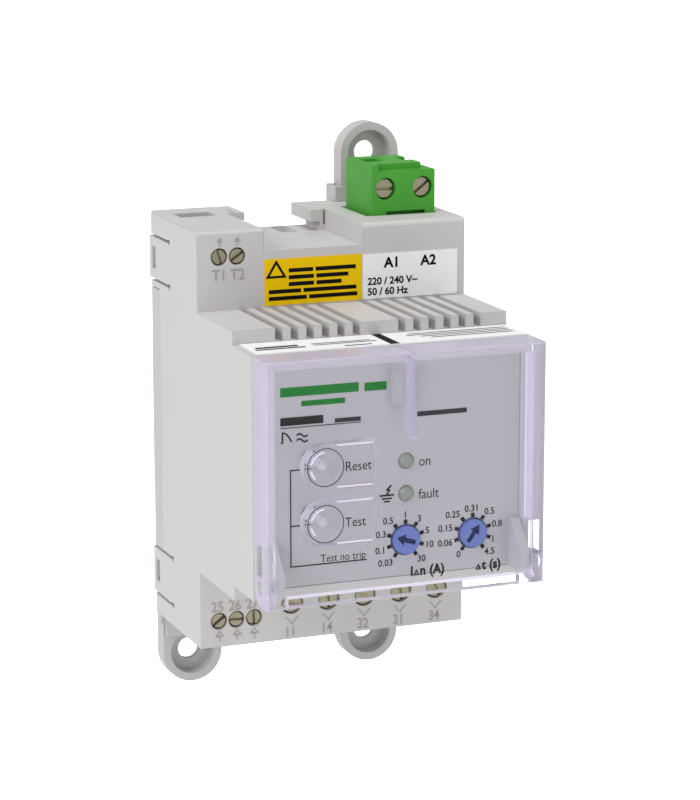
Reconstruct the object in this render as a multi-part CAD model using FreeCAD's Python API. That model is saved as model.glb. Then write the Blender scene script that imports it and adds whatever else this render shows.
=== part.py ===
import FreeCAD, Part
import math
import os

# Residual current relay, three modules wide, with a hinged clear cover.
# Millimetres. X to the right, +Y to the wall behind, +Z up.
# The origin is the middle of the rail seat plane, on the rail's centre line.

# Driving dimensions
BODY_W = 54.0
BODY_H = 80.0
BODY_DEPTH = 28.3            # rail seat to terminal face
NOSE1_DEPTH = 48.0           # rail seat to the vented shoulder's front
NOSE2_DEPTH = 58.3           # rail seat to the control panel
COVER_DEPTH = 66.1           # rail seat to the clear cover's front
NOSE1_H = 50.2
NOSE2_H = 45.0
WALL = 1.8
GAP = 0.3                    # clearance between pieces that move apart
RUN = 0.05                   # radial running clearance of shafts

# Steps of the outline
HALF_W = BODY_W / 2
HALF_H = BODY_H / 2
SENSOR_X1 = -13.8            # right side of the tall left terminal block
SUPPLY_X0 = 5.9              # left side of the tall right block
MID_TOP = 35.9
BACK_Y = -0.8                # rear edge of the top and bottom walls
PLATE_T = 1.6
PLATE_Y = -0.2               # rear face of the base plate, just in front of the rail seat
RIB_Y = -0.6                 # ribs behind the plate start inside it
STRIP_Z0 = -26.7             # stretch where the base shows at the sides
STRIP_Z1 = 25.8
STRIP_Y = -5.6

# Rail and wall fixing
WALL_Y = 4.6                 # plane that the lugs bolt against
RAIL_HALF = 17.5
SEAT_HALF = 15.9             # half height of the pad that the rail lies on
HOOK_GAP = 1.4
HOOK_T = 2.0
LUG_X = 19.05
LUG_R = 6.1
LUG_HOLE_R = 2.2
LUG_SINK_R = 4.5
LUG_SINK_DEPTH = 2.8
LUG_Y = 0.6
LUG_TOP_Z = 49.2
LUG_LOW_Z = -49.6
FOOT_HALF = 6.6
FOOT_T = 2.4
COLLAR_HALF = 7.7
ARM_Y = 0.3                  # rear end of the snap arms
SENSOR_TAB = 3.6             # how far the sensor block's tab stands out sideways
SUPPLY_TAB = 3.0             # the same for the supply block's tab
LIP_Y = 1.9                  # rear edge of the lips on the two blocks' tops
CHANNEL_IN = 21.4            # inner end of the lug channels, above and below the rail
CATCH_HALF = 5.0

# Vents on the shoulder
VENT_COUNT = 6
VENT_PITCH = 3.02
VENT_W = 1.5
VENT_STARTS = (8.96 - HALF_W, 33.0 - HALF_W)

# Control panel
SELECTORS = (("current", 2.42, -72.0), ("delay", 15.79, 36.0))
SELECTOR_Z = -13.8
SELECTOR_R = 2.65
LEDS = (("on", 0.96), ("fault", -5.1))
LED_X = 2.45
LED_R = 1.5
PADS = (("reset", 3.1), ("test", -7.2))
PAD_X = -16.2
PAD_R = 3.5
TONGUE_R = 3.8
TONGUE_ROOT_X = -6.4
SLOT_W = 0.4
PANEL_T = 1.6
PANEL_INSET = 1.9

# Clear cover and its hinge
COVER_WALL = 1.8
COVER_BACK = NOSE2_DEPTH + GAP
HINGE_Y = -62.3
HINGE_Z = -19.0
PIN_R = 1.2
EAR_X0 = 23.0
EAR_X1 = 24.8
EAR_R = 1.6
RIB_X = 1.2
RIB_T = 0.9
RIB_Z0 = 6.2
COVER_RIB_Y = -60.2          # rear edge of the cover's rib
POST_X0 = -0.8
POST_X1 = 3.2
POST_Z0 = 11.8

# Terminals: radius of screw head and shank, width and height of the cage, its side wall, half wire entry
SMALL = {"head": 1.35, "shank": 0.6, "cage_w": 2.2, "cage_h": 3.0, "side": 0.35, "wire": 1.4}
LARGE = {"head": 1.9, "shank": 1.1, "cage_w": 4.6, "cage_h": 4.4, "side": 0.5, "wire": 1.9}
PLUG_KIND = {"head": 1.8, "shank": 0.9, "cage_w": 4.2, "cage_h": 4.2, "side": 0.5, "wire": 1.8}
HEAD_T = 1.2
CAGE_PLATE = 1.2
CAGE_WINDOW = 2.2
CAGE_FLOOR = 0.8
CAGE_TRAVEL = 1.5
CAGE_Y = -10.4
BLOCK_FRONT = -26.4
BLOCK_BACK = -4.2

# Supply plug and its pocket
PLUG_X0 = 11.15
PLUG_X1 = 24.18
PLUG_FRONT = -20.3
PLUG_BACK = -6.8
PLUG_TOP = 49.6
PLUG_BASE = 32.0
PLUG_SCREWS = (14.05, 21.68)
PLUG_SCREW_Z = 44.98
PLUG_CAGE_Y = -14.9
PIN_Y = -8.6
POCKET_FLOOR = 31.6
PLUG_STEP = 1.2
PLUG_SINK = 0.9              # how deep the plug's screw heads sit in their holes
PLUG_SLOT_DEG = (3, -38)


def box(x0, x1, y0, y1, z0, z1):
    return Part.makeBox(x1 - x0, y1 - y0, z1 - z0, FreeCAD.Vector(x0, y0, z0))


def rod_y(x, z, r, y0, y1):
    return Part.makeCylinder(r, y1 - y0, FreeCAD.Vector(x, y0, z), FreeCAD.Vector(0, 1, 0))


def rod_x(y, z, r, x0, x1):
    return Part.makeCylinder(r, x1 - x0, FreeCAD.Vector(x0, y, z), FreeCAD.Vector(1, 0, 0))


def extrude_x(points, x0, x1):
    wire = Part.makePolygon([FreeCAD.Vector(x0, y, z) for y, z in points + points[:1]])
    return Part.Face(wire).extrude(FreeCAD.Vector(x1 - x0, 0, 0))


def extrude_y(points, y0, y1):
    wire = Part.makePolygon([FreeCAD.Vector(x, y0, z) for x, z in points + points[:1]])
    return Part.Face(wire).extrude(FreeCAD.Vector(0, y1 - y0, 0))


def fuse(shapes):
    whole = shapes[0]
    for shape in shapes[1:]:
        whole = whole.fuse(shape)
    return whole.removeSplitter()


def cut(shape, tools):
    for tool in tools:
        shape = shape.cut(tool)
    return shape


def rounded(shape, radius, wanted):
    edges = [edge for edge in shape.Edges if wanted(edge)]
    return shape.makeFillet(radius, edges)


def straight_along(edge, axis):
    if not isinstance(edge.Curve, Part.Line):
        return False
    return abs(abs(getattr(edge.Curve.Direction, axis)) - 1) < 1e-6


def save(name, shape):
    os.makedirs("parts", exist_ok=True)
    shape.exportStep("parts/" + name + ".step")


def terminals():
    """Every terminal as (name, x, z, kind, way the wire enters)."""
    places = []
    for i in range(2):
        places.append(("sensor_%d" % (i + 1), 4.46 - HALF_W + 3.51 * i, 35.2, SMALL, 1))
    for i in range(3):
        places.append(("alarm_%d" % (i + 1), 3.74 - HALF_W + 3.53 * i, -34.9, SMALL, -1))
    for i in range(5):
        places.append(("contact_%d" % (i + 1), 18.45 - HALF_W + 7.5 * i, -32.8, LARGE, -1))
    return places


SCREW_SLOT_DEG = {"sensor_1": 72, "sensor_2": -34, "alarm_1": -37, "alarm_2": 3, "alarm_3": 88,
                  "contact_1": 20, "contact_2": 80, "contact_3": 35, "contact_4": 75, "contact_5": 60}


def outline_blocks():
    core = box(-HALF_W, HALF_W, -BODY_DEPTH, BACK_Y, -HALF_H, MID_TOP)
    sensor = box(-HALF_W, SENSOR_X1, -BODY_DEPTH, BACK_Y, 0, HALF_H)
    supply = box(SUPPLY_X0, HALF_W, -BODY_DEPTH, BACK_Y, 0, HALF_H)
    supply = rounded(supply, 1.0, lambda e: straight_along(e, "x") and e.BoundBox.ZMin > 39
                     and e.BoundBox.YMax < -20)
    sensor = rounded(sensor, 0.6, lambda e: straight_along(e, "x") and e.BoundBox.ZMin > 39
                     and e.BoundBox.YMax < -20)
    nose1 = box(-HALF_W, HALF_W, -NOSE1_DEPTH, -BODY_DEPTH + 1, -NOSE1_H / 2, NOSE1_H / 2)
    nose2 = box(-HALF_W, HALF_W, -NOSE2_DEPTH, -NOSE1_DEPTH + 1, -NOSE2_H / 2, NOSE2_H / 2)
    sensor_lip = box(-HALF_W + 1.0, SENSOR_X1 + SENSOR_TAB, BACK_Y - 0.5, LIP_Y, 38.5, HALF_H)
    sensor_tab = box(SENSOR_X1 - 0.5, SENSOR_X1 + SENSOR_TAB, -7.3, LIP_Y, 38.5, HALF_H)
    supply_tab = box(SUPPLY_X0 - SUPPLY_TAB, SUPPLY_X0 + 0.5, -9.0, LIP_Y, 37.6, HALF_H)
    supply_lip = box(SUPPLY_X0 - SUPPLY_TAB, 10.9, BACK_Y - 0.5, LIP_Y, 38.5, HALF_H)
    supply_rib = box(SUPPLY_X0 - 1.0, SUPPLY_X0 + 0.5, -9.0, BACK_Y, MID_TOP - 0.5, 38)
    return fuse([core, sensor, supply, nose1, nose2, sensor_lip, sensor_tab,
                 supply_tab, supply_lip, supply_rib])


def hollow_blocks():
    inner = HALF_W - WALL
    front = -BODY_DEPTH + WALL
    back = BACK_Y + 1
    core = box(-inner, inner, front, back, -HALF_H + WALL, MID_TOP - WALL)
    sensor = box(-inner, SENSOR_X1 - WALL, front, back, 0, HALF_H - WALL)
    supply = box(SUPPLY_X0 + WALL, inner, front, back, 0, HALF_H - WALL)
    nose1 = box(-inner, inner, -NOSE1_DEPTH + WALL, front + 1, -NOSE1_H / 2 + WALL, NOSE2_H / 2 - WALL)
    opening = NOSE2_H / 2 - PANEL_INSET
    nose2 = box(-HALF_W + PANEL_INSET, HALF_W - PANEL_INSET, -NOSE2_DEPTH - 1, -NOSE1_DEPTH + WALL + 1,
                -opening, opening)
    return fuse([core, sensor, supply, nose1, nose2])


def vent_cuts():
    grooves = []
    for start in VENT_STARTS:
        for i in range(VENT_COUNT):
            x = start + VENT_PITCH * i
            grooves.append(box(x - VENT_W / 2, x + VENT_W / 2, -NOSE1_DEPTH - 1, -BODY_DEPTH,
                               NOSE2_H / 2, NOSE1_H / 2 + 1))
            grooves.append(box(x - VENT_W / 2, x + VENT_W / 2, -NOSE1_DEPTH + 3, -BODY_DEPTH - 3,
                               NOSE2_H / 2 - WALL - 1, NOSE2_H / 2 + 1))
    return grooves


def snap_arm_cuts(side):
    """Two slits and a catch window for each snap arm, on one side wall."""
    x0 = side * HALF_W - 1 if side < 0 else HALF_W - WALL - 0.2
    x1 = x0 + WALL + 1.2
    tools = []
    for low, high in ((27.2, 35.8), (-35.9, -26.4)):
        for z in (low, high):
            tools.append(box(x0, x1, -11.7, 1, z - 0.25, z + 0.25))
            tools.append(rod_x(-11.7, z, 0.6, x0, x1))
        middle = (low + high) / 2
        tools.append(box(x0, x1, -3.4, -1.2, middle - 2.15, middle + 2.15))
    return tools


def plug_pocket():
    tub = box(PLUG_X0 - 2.4, HALF_W - WALL + 0.1, PLUG_FRONT - 1.6, PLUG_BACK + 1.6,
              POCKET_FLOOR - 1.2, HALF_H - WALL)
    room = box(PLUG_X0 - 1.2, PLUG_X1 + 0.4, PLUG_FRONT - 0.4, PLUG_BACK + 0.4, POCKET_FLOOR, HALF_H + 1)
    pins = [box(x - 0.8, x + 0.8, PIN_Y - 0.8, PIN_Y + 0.8, 20, POCKET_FLOOR + 1) for x in PLUG_SCREWS]
    return tub, [room] + pins


def front_housing():
    body = outline_blocks().cut(hollow_blocks())
    tub, pocket_cuts = plug_pocket()
    body = body.fuse(tub)
    tools = vent_cuts() + snap_arm_cuts(-1) + snap_arm_cuts(1) + pocket_cuts
    # The side walls stop short where the base's side strips show.
    for side in (-1, 1):
        x0 = min(side * (HALF_W + 1), side * (HALF_W - WALL - 0.1))
        tools.append(box(x0, x0 + WALL + 1.1, STRIP_Y, 1, STRIP_Z0, STRIP_Z1))
    for name, x, z, kind, way in terminals():
        tools.append(rod_y(x, z, kind["head"] + GAP, -BODY_DEPTH - 1, BLOCK_FRONT + 1))
        if way < 0:
            tools.append(box(x - kind["wire"], x + kind["wire"], CAGE_Y + 0.6, CAGE_Y + 4.4,
                             -HALF_H - 1, -HALF_H + WALL + 1))
    # One wide slot in the top for both sensor wires, and a narrow one through the tab beside it.
    tools.append(box(-23.6, -16.4, -9.0, -4.0, HALF_H - WALL - 1, HALF_H + 1))
    tools.append(box(SENSOR_X1 + 1.5, SENSOR_X1 + 2.0, -6.6, -3.0, 38, HALF_H + 1))
    tools.append(box(SUPPLY_X0 - 0.4, SUPPLY_X0, -9.5, -8.0, 37, HALF_H + 1))
    # Shallow pocket near the rear edge of the middle's top.
    tools.append(box(-3.0, 0.4, -9.0, BACK_Y - 0.5, MID_TOP - 1.2, MID_TOP + 1))
    body = cut(body, tools)
    arms = []
    for side in (-1, 1):
        x0 = -HALF_W if side < 0 else HALF_W - WALL
        for low, high in ((27.45, 35.55), (-35.65, -26.65)):
            arms.append(box(x0, x0 + WALL, BACK_Y - 0.1, ARM_Y, low, high))
    return fuse([body] + arms)


def lug_channel(x, z_in, z_mouth):
    """Collar behind the base for one lug, and the stepped channel cut out of it, open outwards."""
    low, high = min(z_in, z_mouth), max(z_in, z_mouth)
    inner = HALF_W - WALL - GAP
    block = box(max(x - COLLAR_HALF, -inner), min(x + COLLAR_HALF, inner), RIB_Y, WALL_Y, low, high)
    sign = 1 if z_mouth > z_in else -1
    cut_low, cut_high = (low + 0.8, high + 1) if sign > 0 else (low - 1, high - 0.8)
    wide = box(x - FOOT_HALF - GAP, x + FOOT_HALF + GAP, LUG_Y - GAP, LUG_Y + FOOT_T + GAP, cut_low, cut_high)
    narrow = box(x - LUG_R - GAP, x + LUG_R + GAP, LUG_Y, WALL_Y + 1, cut_low, cut_high)
    return block, [wide, narrow]


def rear_base():
    inner = HALF_W - WALL - GAP
    strip = HALF_W - 0.2
    front = PLATE_Y - PLATE_T
    pieces = [box(-strip, strip, front, PLATE_Y, STRIP_Z0 + GAP, STRIP_Z1 - GAP),
              box(-strip, -strip + 1.6, STRIP_Y + GAP, PLATE_Y, STRIP_Z0 + GAP, STRIP_Z1 - GAP),
              box(strip - 1.6, strip, STRIP_Y + GAP, PLATE_Y, STRIP_Z0 + GAP, STRIP_Z1 - GAP),
              box(-inner, inner, front, PLATE_Y, -HALF_H + WALL + GAP, MID_TOP - WALL - GAP),
              box(-inner, SENSOR_X1 - WALL - GAP, front, PLATE_Y, 0, HALF_H - WALL - GAP),
              box(SUPPLY_X0 + WALL + GAP, inner, front, PLATE_Y, 0, HALF_H - WALL - GAP)]
    # Pad that the rail lies on.
    pieces.append(box(-strip, strip, RIB_Y, 0, -SEAT_HALF, SEAT_HALF))
    # Fixed hook over the rail's upper flange, and a stop shoulder under the lower one.
    top = RAIL_HALF + 0.4
    pieces.append(box(-inner, inner, RIB_Y, WALL_Y, top, top + 3.0))
    pieces.append(box(-inner, inner, HOOK_GAP, HOOK_GAP + HOOK_T, top - 1.7, top))
    for side in (-1, 1):
        x0, x1 = sorted((side * (CATCH_HALF + 2.6), side * inner))
        pieces.append(box(x0, x1, RIB_Y, WALL_Y, -top - 3.0, -top))
    # Guide for the sliding catch: two rails with lips.
    for side in (-1, 1):
        wall_in, wall_out = side * (CATCH_HALF + GAP), side * (CATCH_HALF + 2.6)
        lip_in = side * (CATCH_HALF - 1.0)
        pieces.append(box(min(wall_in, wall_out), max(wall_in, wall_out), RIB_Y, 3.1, -37.5, -top))
        pieces.append(box(min(lip_in, wall_out), max(lip_in, wall_out), 3.1, 3.9, -37.5, -22.0))
    pieces.append(box(-1.2, 1.2, RIB_Y, 2.4, -34.8, -33.8))
    # Snap nibs that show in the housing's windows.
    for side in (-1, 1):
        for middle in (31.5, -31.15):
            rib = side * (inner - 1.2), side * inner
            nib = side * (inner - 0.1), side * (HALF_W - 0.5)
            pieces.append(box(min(rib), max(rib), -3.8, -1.0, middle - 3.0, middle + 3.0))
            pieces.append(box(min(nib), max(nib), -3.1, -1.5, middle - 1.85, middle + 1.85))
    channel_cuts = []
    for x, z_in, z_mouth in ((LUG_X, CHANNEL_IN, 43.0), (-LUG_X, -CHANNEL_IN, -45.8),
                             (LUG_X, -CHANNEL_IN, -45.8)):
        block, tools = lug_channel(x, z_in, z_mouth)
        pieces.append(block)
        channel_cuts += tools
    return cut(fuse(pieces), channel_cuts)


def lug(x, z_hole):
    """Fixing lug: ring with a sunk screw hole, and a wider foot that runs in the channel."""
    way = 1 if z_hole > 0 else -1
    ring = rod_y(x, z_hole, LUG_R, LUG_Y, WALL_Y)
    z_foot = z_hole - way * 6.4
    z_end = z_hole - way * 18.2
    neck = box(x - LUG_R, x + LUG_R, LUG_Y, WALL_Y, min(z_hole, z_end), max(z_hole, z_end))
    foot = box(x - FOOT_HALF, x + FOOT_HALF, LUG_Y, LUG_Y + FOOT_T, min(z_foot, z_end), max(z_foot, z_end))
    shape = fuse([ring, neck, foot])
    return cut(shape, [rod_y(x, z_hole, LUG_HOLE_R, LUG_Y - 1, WALL_Y + 1),
                       rod_y(x, z_hole, LUG_SINK_R, LUG_Y - 1, LUG_Y + LUG_SINK_DEPTH)])


def rail_catch():
    top = -RAIL_HALF - 0.4
    slider = box(-CATCH_HALF, CATCH_HALF, LUG_Y, 2.8, -43.0, top)
    nose = extrude_x([(HOOK_GAP, top - 0.5), (2.8, top - 0.5), (2.8, top + 0.9), (HOOK_GAP, top + 1.7)],
                     -CATCH_HALF, CATCH_HALF)
    spring_room = box(-1.7, 1.7, 0, 4, -35.1, -24.0)
    driver_eye = box(-1.8, 1.8, 0, 4, -42.0, -40.6)
    return cut(fuse([slider, nose]), [spring_room, driver_eye])


def catch_spring():
    z0, z1 = -33.8, -24.0
    wire_r = 0.18
    coil_r = 0.85
    helix = Part.makeHelix((z1 - z0 - 2 * wire_r) / 7, z1 - z0 - 2 * wire_r, coil_r)
    start = FreeCAD.Vector(coil_r, 0, 0)
    ring = Part.Wire(Part.makeCircle(wire_r, start, FreeCAD.Vector(0, 1, 0)))
    coil = Part.Wire(helix.Edges).makePipeShell([ring], True, True)
    coil.translate(FreeCAD.Vector(0, 1.7, z0 + wire_r))
    return coil


def front_fascia():
    half = HALF_W - PANEL_INSET - 0.1
    tall = NOSE2_H / 2 - PANEL_INSET - 0.1
    back = -NOSE2_DEPTH + PANEL_T
    pieces = [box(-half, half, -NOSE2_DEPTH, back, -tall, tall)]
    # The ear's lower front corner is round about the hinge, so that the cover's wall clears it.
    ear = [(back, -11.5), (-59.3, -11.5), (HINGE_Y - EAR_R, -17.2)]
    for i in range(9):
        angle = math.pi / 2 * i / 8
        ear.append((HINGE_Y - EAR_R * math.cos(angle), HINGE_Z - EAR_R * math.sin(angle)))
    ear.append((back, HINGE_Z - EAR_R))
    for side in (-1, 1):
        x0, x1 = sorted((side * EAR_X0, side * EAR_X1))
        pieces.append(extrude_x(ear, x0, x1))
        pin = sorted((side * (EAR_X1 - 0.1), side * (HALF_W - 0.2)))
        pieces.append(rod_x(HINGE_Y, HINGE_Z, PIN_R, pin[0], pin[1]))
    # Catch post for the cover: a cap over two legs, with a slot between them for the seal wire.
    cap_y = COVER_RIB_Y + GAP
    pieces.append(box(POST_X0, POST_X1, cap_y, back, 18.6, 20.0))
    pieces.append(box(POST_X0 + 0.3, POST_X1 - 0.3, cap_y + 0.2, back, POST_Z0, 18.7))
    tools = [box(POST_X1 - 1.6, POST_X1 - 0.85, cap_y - 1, -NOSE2_DEPTH + 1.0, POST_Z0 + 0.5, 18.5)]
    for name, x, degrees in SELECTORS:
        tools.append(rod_y(x, SELECTOR_Z, SELECTOR_R + 0.25, -60, -55))
    for name, z in LEDS:
        tools.append(rod_y(LED_X, z, LED_R, -60, -55))
    for name, z in PADS:
        tools.append(rod_y(PAD_X, z, 1.6, -60, -55))
    return cut(fuse(pieces), tools)


def tongue_outline(z, grow, y0, y1):
    """Round-ended tongue outline, enlarged by grow, as a solid between two depths."""
    r = TONGUE_R + grow
    flat = box(PAD_X, TONGUE_ROOT_X, y0, y1, z - r, z + r)
    return fuse([rod_y(PAD_X, z, r, y0, y1), flat])


def clear_cover():
    half_h = NOSE2_H / 2
    front, back = -COVER_DEPTH, -COVER_BACK
    profile = [(back, half_h), (front, half_h), (front, -half_h), (HINGE_Y, -half_h)]
    radius = HINGE_Z + half_h
    steps = 8
    for i in range(1, steps + 1):
        angle = math.pi / 2 * i / steps
        profile.append((HINGE_Y + radius * math.sin(angle), HINGE_Z - radius * math.cos(angle)))
    profile.append((back, HINGE_Z))
    shell = extrude_x(profile, -HALF_W, HALF_W)
    shell = rounded(shell, 1.0, lambda e: e.BoundBox.YMax < front + 0.01 and e.Length > 20)
    inner_x = HALF_W - COVER_WALL - 0.1
    cavity = box(-inner_x, inner_x, front + COVER_WALL, back + 1, -half_h + 1.6, half_h - COVER_WALL)
    under = box(-inner_x, inner_x, HINGE_Y, back + 1, -half_h - 1, -half_h + 2)
    tools = [cavity, under]
    for side in (-1, 1):
        x0, x1 = sorted((side * (EAR_X0 - 0.4), side * inner_x))
        tools.append(box(x0, x1, front + COVER_WALL, back + 1, -half_h - 1, -half_h + 2))
        pin = sorted((side * (EAR_X1 - 1), side * (HALF_W + 1)))
        tools.append(rod_x(HINGE_Y, HINGE_Z, PIN_R + RUN, pin[0], pin[1]))
    shell = cut(shell, tools)
    # Stiffening rib in front of the catch post, running further down than it.
    rib = box(RIB_X, RIB_X + RIB_T, front + COVER_WALL - 0.1, COVER_RIB_Y, RIB_Z0, half_h - COVER_WALL + 0.1)
    shell = fuse([shell, rib])
    tools = [tongue_outline(z, SLOT_W, front - 1, front + COVER_WALL + 0.1) for name, z in PADS]
    # Windows in the side walls, where the ears snap in.
    for side in (-1, 1):
        x0, x1 = sorted((side * (inner_x - 1), side * (HALF_W + 1)))
        tools.append(box(x0, x1, -62.9, -60.5, -17.0, -11.2))
    # Slanted notch in the top wall above the rib.
    notch = Part.makePolygon([FreeCAD.Vector(x, y, half_h - 0.9) for x, y in
                              ((-0.9, back + 0.1), (1.4, back + 0.1), (1.7, front - 0.1), (0.7, front - 0.1),
                               (-0.9, back + 0.1))])
    tools.append(Part.Face(notch).extrude(FreeCAD.Vector(0, 0, 2)))
    return cut(shell, tools)


def tongue(z):
    front = -COVER_DEPTH
    thin = tongue_outline(z, 0, front + 0.2, front + 1.4)
    root = box(TONGUE_ROOT_X - 0.1, TONGUE_ROOT_X, front + 0.2, front + 1.4, z - TONGUE_R, z + TONGUE_R)
    thin = thin.cut(root)
    pad = rod_y(PAD_X, z, PAD_R, front - 0.3, front + 0.3)
    dish = rod_y(PAD_X, z, PAD_R - 0.6, front - 1, front)
    stem = rod_y(PAD_X, z, 0.9, front + 1.3, -60.0)
    return fuse([thin, pad, stem]).cut(dish)


def button(z):
    cap = rod_y(PAD_X, z, 1.3, -59.6, -56.0)
    flange = rod_y(PAD_X, z, 2.1, -56.4, -55.8)
    stem = rod_y(PAD_X, z, 0.6, -55.9, -54.9)
    return fuse([cap, flange, stem])


def tact_switch(z):
    body = box(PAD_X - 2.5, PAD_X + 2.5, -54.5, -52.5, z - 2.5, z + 2.5)
    return body.cut(rod_y(PAD_X, z, 0.9, -55, -53.4))


def selector(x, degrees):
    """Dial disc on a shaft; the engraved arrow points the given angle clockwise from the top."""
    disc = rod_y(x, SELECTOR_Z, SELECTOR_R, -58.9, -56.5)
    shaft = rod_y(x, SELECTOR_Z, 1.0, -56.6, -53.6)
    top, deep = -59.5, -58.5
    stem = extrude_y([(-0.45, -1.9), (0.45, -1.9), (0.45, 0.6), (-0.45, 0.6)], top, deep)
    tip = extrude_y([(-1.1, 0.3), (1.1, 0.3), (0, 2.0)], top, deep)
    arrow = stem.fuse(tip)
    arrow.rotate(FreeCAD.Vector(0, 0, 0), FreeCAD.Vector(0, 1, 0), degrees)
    arrow.translate(FreeCAD.Vector(x, 0, SELECTOR_Z))
    return fuse([disc, shaft]).cut(arrow)


def switch_body(x):
    body = box(x - 4.2, x + 4.2, -56.2, -52.5, SELECTOR_Z - 4.2, SELECTOR_Z + 4.2)
    return body.cut(rod_y(x, SELECTOR_Z, 1.0 + RUN, -57, -53.3))


def led(z):
    lens = rod_y(LED_X, z, LED_R - 0.02, -57.9, -52.5)
    dome = Part.makeSphere(LED_R - 0.02, FreeCAD.Vector(LED_X, -57.9, z))
    return fuse([lens, dome.common(box(LED_X - 3, LED_X + 3, -59.0, -57.8, z - 3, z + 3))])


def terminal_screw(x, z, kind, head_y, cage_y, slot_deg):
    head = rod_y(x, z, kind["head"], head_y, head_y + HEAD_T)
    shank = rod_y(x, z, kind["shank"], head_y + HEAD_T - 0.1, cage_y + CAGE_PLATE + 0.2)
    slot = box(-kind["head"] - 1, kind["head"] + 1, head_y - 1, head_y + 0.7, -0.27, 0.27)
    slot.rotate(FreeCAD.Vector(0, 0, 0), FreeCAD.Vector(0, 1, 0), slot_deg)
    slot.translate(FreeCAD.Vector(x, 0, z))
    return fuse([head, shank]).cut(slot)


def terminal_cage(x, z, kind, cage_y):
    w, h = kind["cage_w"] / 2, kind["cage_h"] / 2
    full = CAGE_PLATE + CAGE_WINDOW + CAGE_FLOOR
    body = box(x - w, x + w, cage_y, cage_y + full, z - h, z + h)
    inside = w - kind["side"]
    window = box(x - inside, x + inside, cage_y + CAGE_PLATE, cage_y + CAGE_PLATE + CAGE_WINDOW,
                 z - h - 1, z + h + 1)
    hole = rod_y(x, z, kind["shank"] + RUN, cage_y - 1, cage_y + CAGE_PLATE + 0.5)
    return cut(body, [window, hole])


def cage_room(x, z, kind, cage_y, wire_to_z):
    """Chamber with clearance round the cage's travel, and the wire's way in up to wire_to_z."""
    w, h = kind["cage_w"] / 2 + GAP, kind["cage_h"] / 2 + GAP
    full = CAGE_PLATE + CAGE_WINDOW + CAGE_FLOOR
    room = box(x - w, x + w, cage_y - CAGE_TRAVEL - GAP, cage_y + full + GAP, z - h, z + h)
    half = min(kind["wire"], w)
    wire = box(x - half, x + half, cage_y + 0.6, cage_y + 4.4, min(z, wire_to_z), max(z, wire_to_z))
    return room, wire


def terminal_block(prefix, x0, x1, z0, z1):
    block = box(x0, x1, BLOCK_FRONT, BLOCK_BACK, z0, z1)
    tools = []
    for name, x, z, kind, way in terminals():
        if not name.startswith(prefix):
            continue
        tools += cage_room(x, z, kind, CAGE_Y, way * (HALF_H + 1))
        tools.append(rod_y(x, z, kind["shank"] + GAP, BLOCK_FRONT - 1, CAGE_Y))
    return cut(block, tools)


def supply_plug():
    body = box(PLUG_X0, PLUG_X1, PLUG_FRONT, PLUG_BACK, PLUG_BASE, PLUG_TOP)
    # Steps along the top's front and right edges, and an undercut where the plug meets the housing.
    step = PLUG_TOP - PLUG_STEP
    tools = [box(PLUG_X0 + 1.4, PLUG_X1 + 1, PLUG_FRONT - 1, PLUG_FRONT + 1.9, step, PLUG_TOP + 1),
             box(PLUG_X1 - 2.2, PLUG_X1 + 1, PLUG_FRONT - 1, PLUG_BACK + 1, step, PLUG_TOP + 1),
             box(PLUG_X0 + 3.0, PLUG_X1 - 2.0, PLUG_FRONT - 1, PLUG_FRONT + 1.5,
                 PLUG_BASE - 1, HALF_H + 0.6)]
    for x in PLUG_SCREWS:
        tools.append(rod_y(x, PLUG_SCREW_Z, PLUG_KIND["head"] + GAP, PLUG_FRONT - 1,
                            PLUG_FRONT + PLUG_SINK + 1.4))
        tools.append(rod_y(x, PLUG_SCREW_Z, PLUG_KIND["shank"] + GAP, PLUG_FRONT, PLUG_CAGE_Y))
        tools += cage_room(x, PLUG_SCREW_Z, PLUG_KIND, PLUG_CAGE_Y, PLUG_TOP + 1)
        tools.append(box(x - 0.75, x + 0.75, PIN_Y - 0.75, PIN_Y + 0.75, PLUG_BASE - 1, 40.4))
    return cut(body, tools)


def plug_header():
    base = box(11.4, 24.3, -11.0, -4.4, 26.4, 30.0)
    pins = [box(x - 0.5, x + 0.5, PIN_Y - 0.5, PIN_Y + 0.5, 29, 39.6) for x in PLUG_SCREWS]
    return fuse([base] + pins)


def main_board():
    left = box(-24.6, 2.0, -4.2, -2.6, -37.4, 33.4)
    sensor = box(-24.6, SENSOR_X1 - WALL - GAP, -4.2, -2.6, 33.0, 36.8)
    right = box(1.0, 24.6, -4.2, -2.6, -37.4, 30.0)
    board = fuse([left, sensor, right])
    # Cut-outs round the base's snap ribs.
    tools = []
    for side in (-1, 1):
        for middle in (31.5, -31.15):
            x0, x1 = sorted((side * 23.0, side * 26.0))
            tools.append(box(x0, x1, -5, -2, middle - 3.4, middle + 3.4))
    return cut(board, tools)


def control_board():
    return box(-24.4, 24.4, -52.5, -50.9, -20.0, 20.0)


def supply_transformer():
    core = box(-22.0, -4.0, -26.0, -6.2, -13.0, 13.0)
    winding = box(-24.0, -2.0, -24.0, -8.2, -9.0, 9.0)
    foot = box(-22.0, -4.0, -6.4, -4.2, -12.0, 12.0)
    return fuse([core, winding, foot])


def output_relay(x0):
    case = box(x0, x0 + 10.0, -20.0, -4.7, -27.5, 0.5)
    pins = [box(x0 + 4.5, x0 + 5.5, -4.8, -4.2, z, z + 1.0) for z in (-26.0, -18.0, -6.0)]
    return fuse([case] + pins)


def smoothing_capacitor():
    can = rod_y(14.0, 13.0, 5.0, -24.0, -4.2)
    return can.cut(rod_y(14.0, 13.0, 3.6, -25.0, -23.8))


def label(x0, x1, z0, z1):
    return box(x0, x1, -BODY_DEPTH - 0.15, -BODY_DEPTH, z0, z1)


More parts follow.
